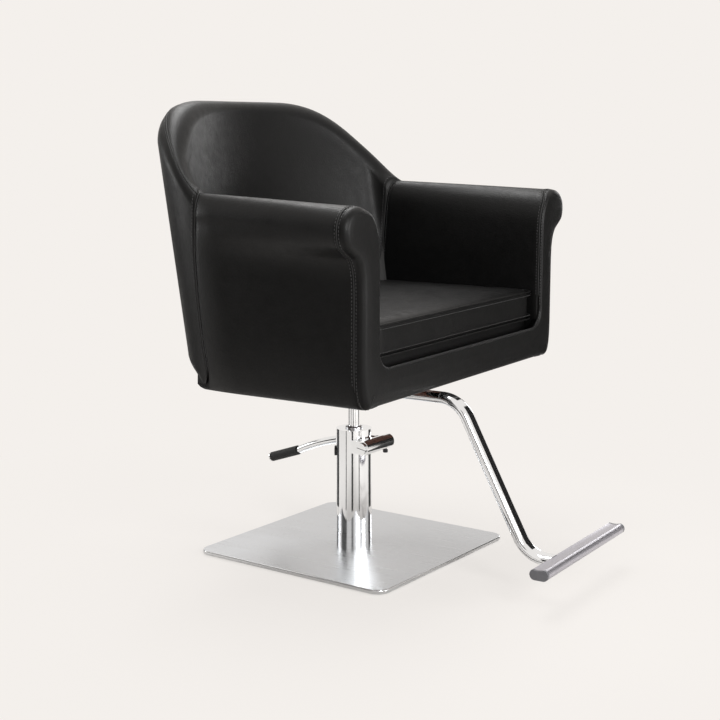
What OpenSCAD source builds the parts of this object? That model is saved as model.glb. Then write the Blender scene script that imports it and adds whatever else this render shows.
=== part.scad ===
// Styling chair: padded tub seat with rolled arms on a hydraulic pump column, a square
// weighted base, a foot pump lever and a T-bar footrest.
// Origin: on the floor, under the swivel axis. The sitter faces -Y, the seat's left is +X.

/* [Base] */
// Side of the square base
base_side = 450; // [400:5:600]
// Radius of the base's corners
base_corner_r = 26; // [10:1:50]
// Thickness of the steel ballast plate
ballast_t = 6; // [5:0.5:12]
// Sheet thickness of the stainless cover
cover_sheet = 1.5; // [1:0.1:2]
// Height of the rubber floor glides
glide_h = 3.5; // [2:0.5:8]
// Diameter of the rubber floor glides
glide_d = 36; // [25:1:50]
// Turn of the square base under the seat, degrees
base_turn = -3; // [-45:1:45]

/* [Pump column] */
// Diameter of the chrome column
column_d = 72; // [68:1:90]
// Wall of the chrome column
column_wall = 2; // [1.5:0.1:3]
// Height of the column's top above the floor
column_top = 250; // [220:5:320]
// Height of the pump head
head_h = 47; // [45:1:60]
// Height of the trim collar on the base
collar_h = 26; // [20:1:40]
// Diameter of the piston rod
rod_d = 22; // [20:1:26]
// Lift of the seat
stroke = 130; // [80:5:130]

/* [Pump lever] */
// Height of the rocker shaft above the floor
pivot_z = 219; // [200:1:290]
// Distance of the rocker shaft in front of the column's axis
pivot_y = 45; // [44:1:60]
// Diameter of the rocker shaft
shaft_d = 14; // [12:1:16]
// Diameter of the rocker housing
housing_d = 30; // [26:1:32]
// Length of the rocker housing
housing_len = 70; // [60:1:80]
// Diameter of the lever's tube
lever_d = 17; // [14:1:20]
// Reach of the lever's bend
lever_bend_r = 470; // [400:10:600]
// Angle of the lever's bend, degrees
lever_bend = 26; // [20:1:30]
// Length of the rubber grip
grip_len = 84; // [70:1:110]
// Diameter of the rubber grip
grip_d = 20; // [20:1:26]

/* [Tub seat] */
// Height of the upholstery's lower edge
seat_z = 374; // [360:1:420]
// Width between the outer faces of the arms
shell_w = 744; // [640:2:800]
// Padded thickness of an arm
arm_t = 62; // [56:1:90]
// Distance of the front edge from the swivel axis
front_y = 260; // [240:1:300]
// Distance of the arms' rear seam from the swivel axis
arm_rear_y = 95; // [80:1:110]
// Height of the arms' tops above the floor
arm_top = 724; // [680:1:760]
// Radius of the rolled arm at the front
roll_r = 40; // [34:1:46]
// Height of the backrest's top above the floor
back_top = 900; // [840:1:960]
// Distance of the back's foot from the swivel axis
back_foot_y = 232; // [225:1:260]
// Distance of the back's top edge from the swivel axis
back_head_y = 309; // [290:1:340]
// Corner radius of the tub in plan
tub_r = 225; // [180:5:240]
// Padded thickness of the back at its foot
back_t_low = 56; // [50:1:70]
// Padded thickness of the back at its top
back_t_high = 58; // [50:1:70]

/* [Cushion] */
// Height of the cushion's underside above the floor
cushion_z = 452; // [440:1:480]
// Thickness of the seat cushion
cushion_t = 67; // [45:1:75]
// Distance of the cushion's front face from the swivel axis
cushion_front = 248; // [230:1:258]
// Gap around the cushion
cushion_gap = 3; // [2:0.5:8]
// Height of the front rail
rail_h = 66; // [50:1:76]
// Thickness of the front rail
rail_t = 35; // [30:1:50]

/* [Footrest] */
// Sideways place of the strut, clear of the pump's mounting plate
strut_x = -84; // [-110:1:-84]
// Width of the strut's flat oval tube
strut_w = 34; // [30:1:44]
// Thickness of the strut's flat oval tube
strut_t = 19; // [16:1:20]
// Slope of the strut below the horizontal, degrees
strut_slope = 62; // [56:1:64]
// Centre radius of the strut's two bends
strut_bend_r = 62; // [50:1:75]
// Distance of the T-bar from the swivel axis
bar_y = 497; // [480:1:520]
// Height of the T-bar's centre above the floor
bar_z = 77; // [60:1:110]
// Length of the T-bar
bar_len = 336; // [300:5:420]
// Depth of the T-bar, front to back
bar_depth = 36; // [30:1:56]
// Height of the T-bar
bar_h = 20; // [16:1:30]
// Wall of the footrest's tubes
foot_wall = 2; // [1.5:0.1:3]

/* [Frame] */
// Thickness of the plywood panels
ply_t = 18; // [12:1:20]
// Thickness of the moulded back panel
back_ply_t = 12; // [9:1:15]
// Thickness of the steel mounting plate
plate_t = 6; // [5:0.5:8]
// Side of the steel mounting plate
plate_side = 130; // [120:1:130]
// Thickness of the brown underside board
board_t = 6; // [4:0.5:8]

/* [Hidden] */
$fn = 96;
slip = 0.05;                       // radial play of a running fit
seat_gap = 0.3;                    // gap between neighbouring padded pieces
eps = 0.01;
hull_fn = 32;

// base
ballast_z = glide_h;
cover_top = glide_h + ballast_t + cover_sheet;
cover_rim_z = glide_h;
ballast_play = 1;
foot_d = column_d - 2 * column_wall - 0.4;
foot_flange_h = 14;
foot_h = 48;
foot_z = ballast_z + ballast_t;
base_bolt_d = 8;
base_bolt_ring = 22;
bolt_head_d = 13;
bolt_head_h = 4;
bolt_hole_play = 0.5;
glide_inset = 34;

// column
collar_d = column_d + 1;
head_z = column_top - head_h;
tube_z = cover_top + collar_h;
cylinder_d = 40;
cylinder_wall = 3;
cylinder_z = foot_z + foot_flange_h;
head_spigot_h = 10;
cylinder_top = head_z - head_spigot_h;
bushing_wall = 3;
bushing_h = 26;
wiper_d = rod_d + 12;
wiper_h = 4;
head_bore_d = rod_d + 2 * bushing_wall;

// piston
piston_z = cylinder_z + 8;
piston_h = 18;
seal_w = 3;
piston_d = cylinder_d - 2 * cylinder_wall - 2 * slip;

// lever
hub_gap = 1;
hub_len = 22;
hub_end_t = 2;
hub_d = housing_d - 2;
lever_x = housing_len / 2 + hub_gap + hub_len / 2;
boss_wall = 5;
web_inset = 1.5;
cam_w = 10;
cam_slot = cam_w + 2;
cam_t = 5;
slot_below = 6;
plunger_d = 7;
plunger_y = 27;
plunger_len = 36;
plunger_gap = 0.3;
sleeve_d = 11;
sleeve_h = 19;
slot_floor = pivot_z - shaft_d / 2 - slot_below;
arm_start = hub_d / 2;
arm_end_y = arm_start + lever_bend_r * sin(lever_bend);
arm_end_z = -lever_bend_r * (1 - cos(lever_bend));
grip_angle = lever_bend - 7;
grip_play = 0.2;
grip_core_d = lever_d - 3;
grip_start = 6;
cap_t = 3;

// seat
frame_top = seat_z + ply_t;
board_z = seat_z - board_t;
plate_z = board_z - plate_t;
cone_d = 50;
cone_h = 54;
rod_top = plate_z - 6;
half_w = shell_w / 2;
inner_w = half_w - arm_t;
tub_z0 = seat_z;
tub_z1 = back_top + 4;
skin_t = 22;
deck_top = cushion_z - seat_gap;
inner_arc_r = 640;
inner_foot_y = back_foot_y - back_t_low;
inner_head_y = back_head_y - back_t_high;
arm_ply_x = half_w - 45;
arm_ply_front = front_y - 25;
arm_ply_top = arm_top - roll_r - 24;
crest_foot_y = arm_rear_y - 12;
crest_foot_z = arm_top + 12;
crest_head_y = back_head_y - 24;
crest_steps = 12;
roll_x = half_w + 12;
roll_z = arm_top - roll_r;
rear_roll_r = 28;
rear_roll_rise = 14;
frame_rear_y = 150;
frame_screw_ys = [-180, -40, 60];
frame_screw_d = 6;
frame_screw_len = 50;

// footrest
strut_z = plate_z - strut_t / 2;
strut_drop = strut_z - bar_z;
strut_rear_y = -92;
strut_step = 0.2;
strut_lap = 2;
bend_reach = strut_bend_r * sin(strut_slope);
bend_drop = strut_bend_r * (1 - cos(strut_slope));
slope_len = (strut_drop - 2 * bend_drop) / sin(strut_slope);
strut_run = 2 * bend_reach + slope_len * cos(strut_slope);
bar_joint_y = bar_y - bar_depth / 2 + 6;
lower_flat = 14;
lower_bend_x = bar_joint_y - lower_flat;
upper_bend_x = lower_bend_x - strut_run;
strut_bolt_ys = [-110, -140];
bar_groove_r = 40;
bar_groove = 2.5;
end_cap_t = 6;
end_cap_plug = 14;
plate_bolt_spread = plate_side / 2 - 18;
bolt_d = 8;

// ---------- shared shapes ----------

// Square with rounded corners, centred
module rounded_square(side, r) {
    square([side - 2 * r, side], center = true);
    square([side, side - 2 * r], center = true);
    for (sx = [-1, 1], sy = [-1, 1])
        translate([sx * (side / 2 - r), sy * (side / 2 - r)])
            circle(r);
}

// Four places on a square pattern
module four_corners(offset_xy) {
    for (sx = [-1, 1], sy = [-1, 1])
        translate([sx * offset_xy, sy * offset_xy, 0])
            children();
}

// Four places on a ring
module four_on_ring(r) {
    for (a = [45 : 90 : 315])
        rotate([0, 0, a])
            translate([r, 0, 0])
                children();
}

module tube(d, wall, h) {
    difference() {
        cylinder(d = d, h = h);
        translate([0, 0, -1])
            cylinder(d = d - 2 * wall, h = h + 2);
    }
}

// Hexagon-head bolt, head below z = 0 and shank above
module bolt(d, len, head_d, head_h) {
    translate([0, 0, -head_h])
        cylinder(d = head_d, h = head_h, $fn = 6);
    cylinder(d = d, h = len);
}

// A cylinder along X, from x0 to x1
module x_rod(d, x0, x1) {
    translate([x0, 0, 0])
        rotate([0, 90, 0])
            cylinder(d = d, h = x1 - x0);
}

// Flat oval outline, wide along X
module flat_oval(w, t) {
    square([w - t, t], center = true);
    for (s = [-1, 1])
        translate([s * (w - t) / 2, 0])
            circle(d = t);
}

// ---------- base ----------

module on_base() {
    rotate([0, 0, base_turn])
        children();
}

module base_cover() {
    color("gainsboro")
    on_base()
    difference() {
        translate([0, 0, cover_rim_z])
            linear_extrude(cover_top - cover_rim_z)
                rounded_square(base_side, base_corner_r);
        translate([0, 0, cover_rim_z - 1])
            linear_extrude(cover_top - cover_rim_z - cover_sheet + 1)
                rounded_square(base_side - 2 * cover_sheet, base_corner_r - cover_sheet);
        cylinder(d = foot_d + 0.4, h = cover_top + 1);
    }
}

module base_ballast() {
    side = base_side - 2 * cover_sheet - 2 * ballast_play;
    color("dimgray")
    on_base()
    difference() {
        translate([0, 0, ballast_z])
            linear_extrude(ballast_t)
                rounded_square(side, base_corner_r - cover_sheet - ballast_play);
        four_on_ring(base_bolt_ring)
            cylinder(d = base_bolt_d + 2 * bolt_hole_play, h = 50);
        four_on_ring(base_bolt_ring)
            cylinder(d = bolt_head_d + 1.5, h = ballast_z + bolt_head_h);
    }
}

module floor_glides() {
    color("black")
    on_base()
    four_corners(base_side / 2 - glide_inset)
        union() {
            cylinder(d1 = glide_d - 3, d2 = glide_d, h = 1);
            translate([0, 0, 1])
                cylinder(d = glide_d, h = glide_h - 1);
        }
}

module base_bolts() {
    color("darkgray")
    on_base()
    four_on_ring(base_bolt_ring)
        translate([0, 0, ballast_z + bolt_head_h])
            bolt(base_bolt_d, ballast_t - bolt_head_h + 10, bolt_head_d, bolt_head_h - 0.5);
}

module base_collar() {
    color("silver")
    on_base()
    translate([0, 0, cover_top])
        tube(collar_d, (collar_d - foot_d) / 2 - 0.2, collar_h);
}

module pump_foot() {
    color("slategray")
    on_base()
    difference() {
        translate([0, 0, foot_z])
            cylinder(d = foot_d, h = foot_h);
        translate([0, 0, foot_z + foot_flange_h])
            cylinder(d = cylinder_d + 0.2, h = foot_h);
        four_on_ring(base_bolt_ring)
            translate([0, 0, foot_z - 1])
                cylinder(d = base_bolt_d, h = 11);
    }
}

// ---------- pump column ----------

module column_tube() {
    color("silver")
    on_base()
    translate([0, 0, tube_z])
        tube(column_d, column_wall, head_z - tube_z);
}

module inner_cylinder() {
    color("gray")
    on_base()
    translate([0, 0, cylinder_z])
        tube(cylinder_d, cylinder_wall, cylinder_top - cylinder_z);
}

module pump_head() {
    color("silver")
    on_base()
    difference() {
        union() {
            translate([0, 0, head_z])
                cylinder(d = column_d, h = head_h);
            translate([0, 0, head_z - head_spigot_h])
                cylinder(d = foot_d, h = head_spigot_h);
            translate([0, -pivot_y, pivot_z])
                x_rod(housing_d, -housing_len / 2, housing_len / 2);
            translate([-housing_len / 2, -pivot_y, pivot_z - housing_d / 2 + web_inset])
                cube([housing_len / 2 + cam_slot, pivot_y - 18, housing_d - 2 * web_inset]);
        }
        translate([0, 0, head_z - head_spigot_h - 1])
            cylinder(d = rod_d + 4, h = head_h + head_spigot_h + 2);
        translate([0, 0, column_top - bushing_h])
            cylinder(d = head_bore_d, h = bushing_h + 1);
        translate([0, -pivot_y, pivot_z])
            x_rod(shaft_d + 2 * slip, -housing_len / 2 + boss_wall, housing_len / 2 + 1);
        translate([0, -pivot_y, pivot_z])
            x_rod(shaft_d - 4, -housing_len / 2 - 1, housing_len / 2);
        translate([-cam_slot / 2, -pivot_y, slot_floor])
            cube([cam_slot, pivot_y - plunger_y + sleeve_d / 2, shaft_d + 10]);
        translate([0, -plunger_y, head_z - head_spigot_h - 1])
            cylinder(d = sleeve_d, h = slot_floor - head_z + head_spigot_h + 2);
    }
}

module rod_bushing() {
    color("peru")
    on_base()
    translate([0, 0, column_top - bushing_h])
        difference() {
            cylinder(d = head_bore_d, h = bushing_h - wiper_h / 2);
            translate([0, 0, -1])
                cylinder(d = rod_d + 2 * slip, h = bushing_h + 2);
        }
}

module rod_wiper() {
    color("black")
    on_base()
    difference() {
        union() {
            translate([0, 0, column_top])
                cylinder(d = wiper_d, h = wiper_h - 1);
            translate([0, 0, column_top + wiper_h - 1])
                cylinder(d1 = wiper_d, d2 = rod_d + 3, h = 1.5);
            translate([0, 0, column_top - wiper_h / 2])
                cylinder(d = head_bore_d, h = wiper_h / 2 + eps);
        }
        translate([0, 0, column_top - wiper_h])
            cylinder(d = rod_d + 2 * slip, h = 3 * wiper_h);
    }
}

module shaft_plug_screw() {
    screw_d = 22;
    screw_t = 4;
    slot_w = 2.4;
    slot_turn = 10;
    color("silver")
    on_base()
    translate([-housing_len / 2, -pivot_y, pivot_z])
        rotate([slot_turn, 0, 0])
            difference() {
                union() {
                    x_rod(screw_d, -screw_t, 0);
                    x_rod(shaft_d - 4, 0, boss_wall - 0.5);
                }
                translate([-screw_t - 1, -screw_d / 2 - 1, -slot_w / 2])
                    cube([2.5, screw_d + 2, slot_w]);
            }
}

module lever_stop_pad() {
    pad_angle = 122;
    pad_d = 20;
    pad_t = 3;
    color("black")
    on_base()
    rotate([0, 0, pad_angle])
        translate([0, 0, head_z - 1])
            difference() {
                x_rod(pad_d, column_d / 2 - 4, column_d / 2 + pad_t);
                translate([0, 0, -pad_d])
                    cylinder(d = column_d, h = 2 * pad_d);
            }
}

// ---------- piston ----------

module piston_rod() {
    color("silver")
    translate([0, 0, piston_z])
        cylinder(d = rod_d, h = rod_top - piston_z);
}

module piston_head() {
    color("darkgray")
    difference() {
        translate([0, 0, piston_z])
            cylinder(d = piston_d, h = piston_h);
        translate([0, 0, piston_z - 1])
            cylinder(d = rod_d, h = piston_h + 2);
        for (z = [4, 11])
            translate([0, 0, piston_z + z])
                difference() {
                    cylinder(d = piston_d + 1, h = seal_w);
                    translate([0, 0, -1])
                        cylinder(d = piston_d - 5, h = seal_w + 2);
                }
    }
}

module piston_seals() {
    color("black")
    for (z = [4, 11])
        translate([0, 0, piston_z + z])
            tube(piston_d, 2.5, seal_w);
}

// ---------- pump lever ----------

module at_pivot() {
    on_base()
    translate([0, -pivot_y, pivot_z])
        children();
}

module rocker_shaft() {
    color("silver")
    at_pivot()
    x_rod(shaft_d, -housing_len / 2 + boss_wall + 0.5, lever_x + hub_len / 2 - hub_end_t);
}

// Finger on the shaft that pushes the plunger down
module pump_cam() {
    finger = pivot_y - plunger_y + plunger_d / 2 - 0.5;
    color("dimgray")
    at_pivot()
    difference() {
        translate([-cam_w / 2, 0, -cam_t])
            cube([cam_w, finger, cam_t]);
        x_rod(shaft_d, -cam_w, cam_w);
    }
}

module pump_plunger() {
    color("silver")
    on_base()
    translate([0, -plunger_y, pivot_z - cam_t - plunger_gap - plunger_len])
        cylinder(d = plunger_d, h = plunger_len);
}

module plunger_sleeve() {
    color("gray")
    on_base()
    translate([0, -plunger_y, slot_floor - sleeve_h])
        difference() {
            cylinder(d = sleeve_d, h = sleeve_h);
            translate([0, 0, -1])
                cylinder(d = plunger_d + 2 * slip, h = sleeve_h + 2);
        }
}

module lever_hub() {
    color("silver")
    at_pivot()
    difference() {
        union() {
            x_rod(hub_d, lever_x - hub_len / 2, lever_x + hub_len / 2);
            translate([lever_x, 0, 0])
                rotate([-90, 0, 0])
                    cylinder(d = lever_d + 3, h = hub_d / 2 + 6);
        }
        x_rod(shaft_d, lever_x - hub_len, lever_x + hub_len / 2 - hub_end_t);
        translate([lever_x, hub_d / 2, 0])
            rotate([-90, 0, 0])
                cylinder(d = lever_d + 0.3, h = 10);
        translate([lever_x, 0, -hub_d])
            cylinder(d = 6, h = hub_d - shaft_d / 2 + 1);
    }
}

module clamp_bolt() {
    color("black")
    at_pivot()
    translate([lever_x, 0, -hub_d / 2 - 3])
        bolt(6, hub_d / 2 + 3 - shaft_d / 2, 10, 6);
}

// Side view frame of the lever: local X to the rear, local Y up, local Z along the shaft
module lever_plane() {
    at_pivot()
    translate([lever_x, 0, 0])
        rotate([90, 0, 90])
            children();
}

// Frame at the lever's end, +Z along the grip
module at_grip() {
    lever_plane()
        translate([arm_end_y, arm_end_z, 0])
            rotate([0, 0, -grip_angle])
                rotate([0, 90, 0])
                    children();
}

// Bent tube, from the hub over and down, with a thinner end inside the grip
module lever_arm() {
    color("silver")
    union() {
        lever_plane()
            translate([arm_start, -lever_bend_r, 0])
                rotate([0, 0, 90 - lever_bend])
                    rotate_extrude(angle = lever_bend, $fn = 180)
                        translate([lever_bend_r, 0])
                            difference() {
                                circle(d = lever_d);
                                circle(d = lever_d - 4);
                            }
        at_grip()
            tube(grip_core_d, 2, grip_len - cap_t);
    }
}

module lever_grip() {
    color("black")
    at_grip()
        translate([0, 0, grip_start])
            tube(grip_d, (grip_d - grip_core_d - grip_play) / 2, grip_len - cap_t - grip_start);
}

module grip_cap() {
    color("silver")
    at_grip()
        translate([0, 0, grip_len - cap_t])
            union() {
                cylinder(d = grip_d - 1, h = cap_t);
                translate([0, 0, -8])
                    cylinder(d = grip_core_d - 4.2, h = 8 + eps);
            }
}

// ---------- seat support ----------

module cone_socket() {
    color("dimgray")
    difference() {
        union() {
            translate([0, 0, plate_z - cone_h])
                cylinder(d1 = cone_d - 8, d2 = cone_d, h = cone_h - 10);
            translate([0, 0, plate_z - 10])
                cylinder(d = cone_d + 14, h = 10);
        }
        translate([0, 0, plate_z - cone_h - 1])
            cylinder(d = rod_d + 2 * slip, h = rod_top - plate_z + cone_h + 1);
    }
}

module seat_plate() {
    color("dimgray")
    difference() {
        translate([0, 0, plate_z])
            linear_extrude(plate_t)
                rounded_square(plate_side, 12);
        four_corners(plate_bolt_spread)
            translate([0, 0, plate_z - 1])
                cylinder(d = bolt_d + 2 * bolt_hole_play, h = plate_t + 2);
    }
}

module plate_bolts() {
    color("darkgray")
    four_corners(plate_bolt_spread)
        translate([0, 0, plate_z])
            bolt(bolt_d, plate_t + board_t + 12, bolt_head_d, 5);
}

// Holes that every board under the seat shares
module mounting_holes() {
    four_corners(plate_bolt_spread)
        translate([0, 0, plate_z])
            cylinder(d = bolt_d + 2 * bolt_hole_play, h = 60);
    for (y = strut_bolt_ys)
        translate([strut_x, y, plate_z])
            cylinder(d = bolt_d + 2 * bolt_hole_play, h = 60);
}

module underside_board() {
    color("saddlebrown")
    difference() {
        translate([-arm_ply_x + 22, -front_y + 45, board_z])
            cube([2 * arm_ply_x - 44, front_y + frame_rear_y - 70, board_t]);
        mounting_holes();
    }
}

// ---------- tub shapes ----------

// Plan of the tub's outside: straight sides and a rounded rear
module outer_plan(hw, rear, r) {
    translate([-hw, -front_y])
        square([2 * hw, front_y + rear - r]);
    translate([-hw + r, 0])
        square([2 * (hw - r), rear]);
    for (s = [-1, 1])
        translate([s * (hw - r), rear - r])
            circle(r, $fn = 72);
}

// Plan of the seat space: straight arms and a shallow curved back
module inner_plan(hw, rear) {
    intersection() {
        translate([-hw, -front_y - 50])
            square([2 * hw, front_y + 50 + rear]);
        translate([0, rear - inner_arc_r])
            circle(inner_arc_r, $fn = 180);
    }
}

// Outside of the tub, drawn in by inset all round
module outer_tub(inset) {
    hull() {
        translate([0, 0, tub_z0])
            linear_extrude(eps)
                outer_plan(half_w - inset, back_foot_y - inset, tub_r - inset);
        translate([0, 0, tub_z1])
            linear_extrude(eps)
                outer_plan(half_w - inset, back_head_y - inset, tub_r - inset);
    }
}

// The space that the padding surrounds, grown by out all round
module inner_tub(out) {
    hull() {
        translate([0, 0, tub_z0])
            linear_extrude(eps)
                inner_plan(inner_w + out, inner_foot_y + out);
        translate([0, 0, tub_z1])
            linear_extrude(eps)
                inner_plan(inner_w + out, inner_head_y + out);
    }
}

// Height of the back's top edge, rising from the arms to the rear
function crest_z(y) =
    let (u = min(1, (y - crest_foot_y) / (crest_head_y - crest_foot_y)))
    crest_foot_z + (back_top - crest_foot_z) * u * u * (3 - 2 * u);

// Side view of the back, drawn down by inset: local X to the rear, local Y up
module crest_outline(inset, z0) {
    y0 = arm_rear_y + seat_gap;
    y1 = back_head_y + 10;
    polygon(concat([[y0, z0]],
                   [for (k = [0 : crest_steps])
                       let (y = y0 + (crest_head_y - y0) * k / crest_steps)
                       [y, crest_z(y) - inset]],
                   [[y1, back_top - inset], [y1, z0]]));
}

// Everything behind the arms and under the crest
module back_zone(inset, z0) {
    translate([-half_w - 1, 0, 0])
        rotate([90, 0, 90])
            linear_extrude(shell_w + 2)
                crest_outline(inset, z0);
}

// ---------- wooden frame ----------

module seat_frame() {
    color("burlywood")
    difference() {
        intersection() {
            translate([-arm_ply_x, -front_y + rail_t, seat_z])
                cube([2 * arm_ply_x, front_y - rail_t + frame_rear_y, ply_t]);
            outer_tub(skin_t + back_ply_t + 2 * seat_gap);
        }
        mounting_holes();
        frame_screw_shafts();
    }
}

module frame_screw_shafts() {
    for (s = [-1, 1], y = frame_screw_ys)
        translate([s * (arm_ply_x + ply_t - frame_screw_len / 2), y, seat_z + ply_t / 2])
            x_rod(frame_screw_d, -frame_screw_len / 2, frame_screw_len / 2);
}

module frame_screws() {
    color("darkgray")
    frame_screw_shafts();
}

// Plywood panel that stiffens one arm
module arm_frame(side) {
    difference() {
        translate([side > 0 ? arm_ply_x : -arm_ply_x - ply_t, -arm_ply_front, seat_z])
            cube([ply_t, arm_ply_front + arm_rear_y - 10, arm_ply_top - seat_z]);
        frame_screw_shafts();
    }
}

module arm_frame_left() {
    color("burlywood")
    arm_frame(1);
}

module arm_frame_right() {
    color("burlywood")
    arm_frame(-1);
}

// Moulded plywood panel inside the back
module back_frame() {
    color("burlywood")
    intersection() {
        difference() {
            outer_tub(skin_t + seat_gap);
            outer_tub(skin_t + seat_gap + back_ply_t);
        }
        back_zone(skin_t, seat_z);
    }
}

// ---------- padding ----------

module seat_deck() {
    color("black")
    intersection() {
        inner_tub(-seat_gap);
        translate([-half_w, -front_y + rail_t + seat_gap, frame_top])
            cube([shell_w, front_y + back_head_y, deck_top - frame_top]);
    }
}

module front_rail() {
    edge_r = 12;
    color("black")
    translate([-inner_w + seat_gap, -front_y, seat_z])
        union() {
            cube([2 * (inner_w - seat_gap), rail_t, rail_h - edge_r]);
            translate([0, edge_r, 0])
                cube([2 * (inner_w - seat_gap), rail_t - edge_r, rail_h]);
            translate([0, edge_r, rail_h - edge_r])
                x_rod(2 * edge_r, 0, 2 * (inner_w - seat_gap));
        }
}

// Section of an arm: upright wall and a quarter round that runs over into the roll
module arm_outline() {
    round_z = arm_top - arm_t;
    translate([inner_w, seat_z])
        square([arm_t, round_z - seat_z]);
    intersection() {
        translate([half_w, round_z])
            circle(arm_t);
        translate([inner_w, round_z - eps])
            square([arm_t, arm_t + 1]);
    }
}

// One padded arm with its outward roll, widest at the front
module padded_arm() {
    difference() {
        union() {
            intersection() {
                translate([0, arm_rear_y, 0])
                    rotate([90, 0, 0])
                        linear_extrude(arm_rear_y + front_y)
                            arm_outline();
                outer_tub(0);
            }
            hull() {
                translate([roll_x, -front_y, roll_z])
                    rotate([-90, 0, 0])
                        cylinder(r = roll_r, h = 30, $fn = hull_fn);
                translate([half_w - rear_roll_r, arm_rear_y - eps, roll_z + rear_roll_rise])
                    rotate([-90, 0, 0])
                        cylinder(r = rear_roll_r, h = eps, $fn = hull_fn);
            }
        }
        translate([arm_ply_x - seat_gap, -arm_ply_front - seat_gap, seat_z - 1])
            cube([ply_t + 2 * seat_gap, arm_ply_front + arm_rear_y - 10 + 2 * seat_gap,
                  arm_ply_top - seat_z + 1 + seat_gap]);
        translate([0, -front_y + rail_t - seat_gap, seat_z - 1])
            cube([arm_ply_x + 1, front_y + arm_rear_y, ply_t + 1 + seat_gap]);
    }
}

module left_arm() {
    color("black")
    padded_arm();
}

module right_arm() {
    color("black")
    mirror([1, 0, 0])
        padded_arm();
}

module back_shell() {
    color("black")
    intersection() {
        difference() {
            outer_tub(0);
            outer_tub(skin_t);
        }
        back_zone(0, seat_z);
    }
}

module back_pad() {
    color("black")
    difference() {
        intersection() {
            outer_tub(skin_t + back_ply_t + 2 * seat_gap);
            back_zone(2, frame_top + seat_gap);
        }
        inner_tub(0);
    }
}

module seat_cushion() {
    color("black")
    intersection() {
        inner_tub(-cushion_gap);
        translate([-half_w, -cushion_front, cushion_z])
            cube([shell_w, cushion_front + back_head_y, cushion_t]);
    }
}

// ---------- footrest ----------

module strut_saddle() {
    saddle_w = 60;
    saddle_rear = -86;
    saddle_len = 84;
    color("dimgray")
    difference() {
        translate([strut_x - saddle_w / 2, saddle_rear - saddle_len, plate_z])
            cube([saddle_w, saddle_len, plate_t]);
        mounting_holes();
    }
}

// Section of the strut's tube, wide along X
module strut_outline(inset) {
    difference() {
        flat_oval(strut_w - 2 * inset, strut_t - 2 * inset);
        flat_oval(strut_w - 2 * foot_wall - 2 * inset, strut_t - 2 * foot_wall - 2 * inset);
    }
}

// Level length of the strut, from one distance in front of the axis to a smaller one
module strut_level(from_y, to_y, z) {
    translate([strut_x, -from_y, z])
        rotate([-90, 0, 0])
            linear_extrude(from_y - to_y)
                strut_outline(0);
}

// Bend at the end of a straight along Z, turning towards -Y
module strut_bend() {
    translate([0, -strut_bend_r, 0])
        rotate([0, 90, 0])
            rotate([0, 0, 90])
                rotate_extrude(angle = strut_slope)
                    translate([strut_bend_r, 0])
                        rotate(90)
                            strut_outline(strut_step);
}

// Sloping length of the strut with a bend at each end
module strut_slope_length() {
    translate([strut_x, -(lower_bend_x - bend_reach), bar_z + bend_drop])
        rotate([strut_slope - 90, 0, 0])
            rotate([0, 0, 180])
                union() {
                    linear_extrude(slope_len)
                        strut_outline(strut_step);
                    translate([0, 0, slope_len])
                        strut_bend();
                    rotate([180, 0, 0])
                        strut_bend();
                }
}

module strut_bolt_holes() {
    for (y = strut_bolt_ys)
        translate([strut_x, y, strut_z - strut_t])
            cylinder(d = bolt_d + 2 * bolt_hole_play, h = 2 * strut_t);
}

module footrest_strut() {
    color("silver")
    difference() {
        union() {
            strut_level(upper_bend_x + strut_lap, -strut_rear_y, strut_z);
            strut_slope_length();
            strut_level(bar_joint_y, lower_bend_x - strut_lap, bar_z);
        }
        strut_bolt_holes();
        translate([-bar_len / 2, -bar_y, bar_z])
            rotate([90, 0, 90])
                linear_extrude(bar_len)
                    flat_oval(bar_depth, bar_h);
    }
}

module strut_bolts() {
    color("darkgray")
    for (y = strut_bolt_ys)
        translate([strut_x, y, strut_z - strut_t / 2])
            bolt(bolt_d, strut_t + plate_t + board_t + 12, bolt_head_d, 5);
}

// Section of the T-bar: flat oval with a shallow dished top
module bar_outline(inset) {
    difference() {
        flat_oval(bar_depth - 2 * inset, bar_h - 2 * inset);
        translate([4, bar_h / 2 - inset - bar_groove + bar_groove_r])
            circle(bar_groove_r);
    }
}

module t_bar() {
    color("silver")
    translate([-bar_len / 2, -bar_y, bar_z])
        rotate([90, 0, 90])
            linear_extrude(bar_len)
                difference() {
                    bar_outline(0);
                    bar_outline(foot_wall);
                }
}

module bar_cap() {
    union() {
        translate([0, 0, 0])
            rotate([90, 0, 90])
                linear_extrude(end_cap_t)
                    bar_outline(0);
        translate([-end_cap_plug, 0, 0])
            rotate([90, 0, 90])
                linear_extrude(end_cap_plug + eps)
                    bar_outline(foot_wall + 0.2);
    }
}

module t_bar_cap_left() {
    color("gray")
    translate([bar_len / 2, -bar_y, bar_z])
        bar_cap();
}

module t_bar_cap_right() {
    color("gray")
    translate([-bar_len / 2, -bar_y, bar_z])
        mirror([1, 0, 0])
            bar_cap();
}

base_cover();
base_ballast();
floor_glides();
base_bolts();
base_collar();
pump_foot();
column_tube();
pump_head();
inner_cylinder();
rod_bushing();
rod_wiper();
shaft_plug_screw();
lever_stop_pad();
piston_rod();
piston_head();
piston_seals();
pump_plunger();
plunger_sleeve();
rocker_shaft();
pump_cam();
lever_hub();
clamp_bolt();
lever_arm();
lever_grip();
grip_cap();
cone_socket();
seat_plate();
plate_bolts();
underside_board();
seat_frame();
arm_frame_left();
arm_frame_right();
back_frame();
frame_screws();
seat_deck();
front_rail();
left_arm();
right_arm();
back_shell();
back_pad();
seat_cushion();
strut_saddle();
footrest_strut();
strut_bolts();
t_bar();
t_bar_cap_left();
t_bar_cap_right();
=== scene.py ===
"""Looks of the styling chair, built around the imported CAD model. Metres, seat frame:
the sitter faces -Y, +X is the sitter's left, the floor is z = 0."""

import math

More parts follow.
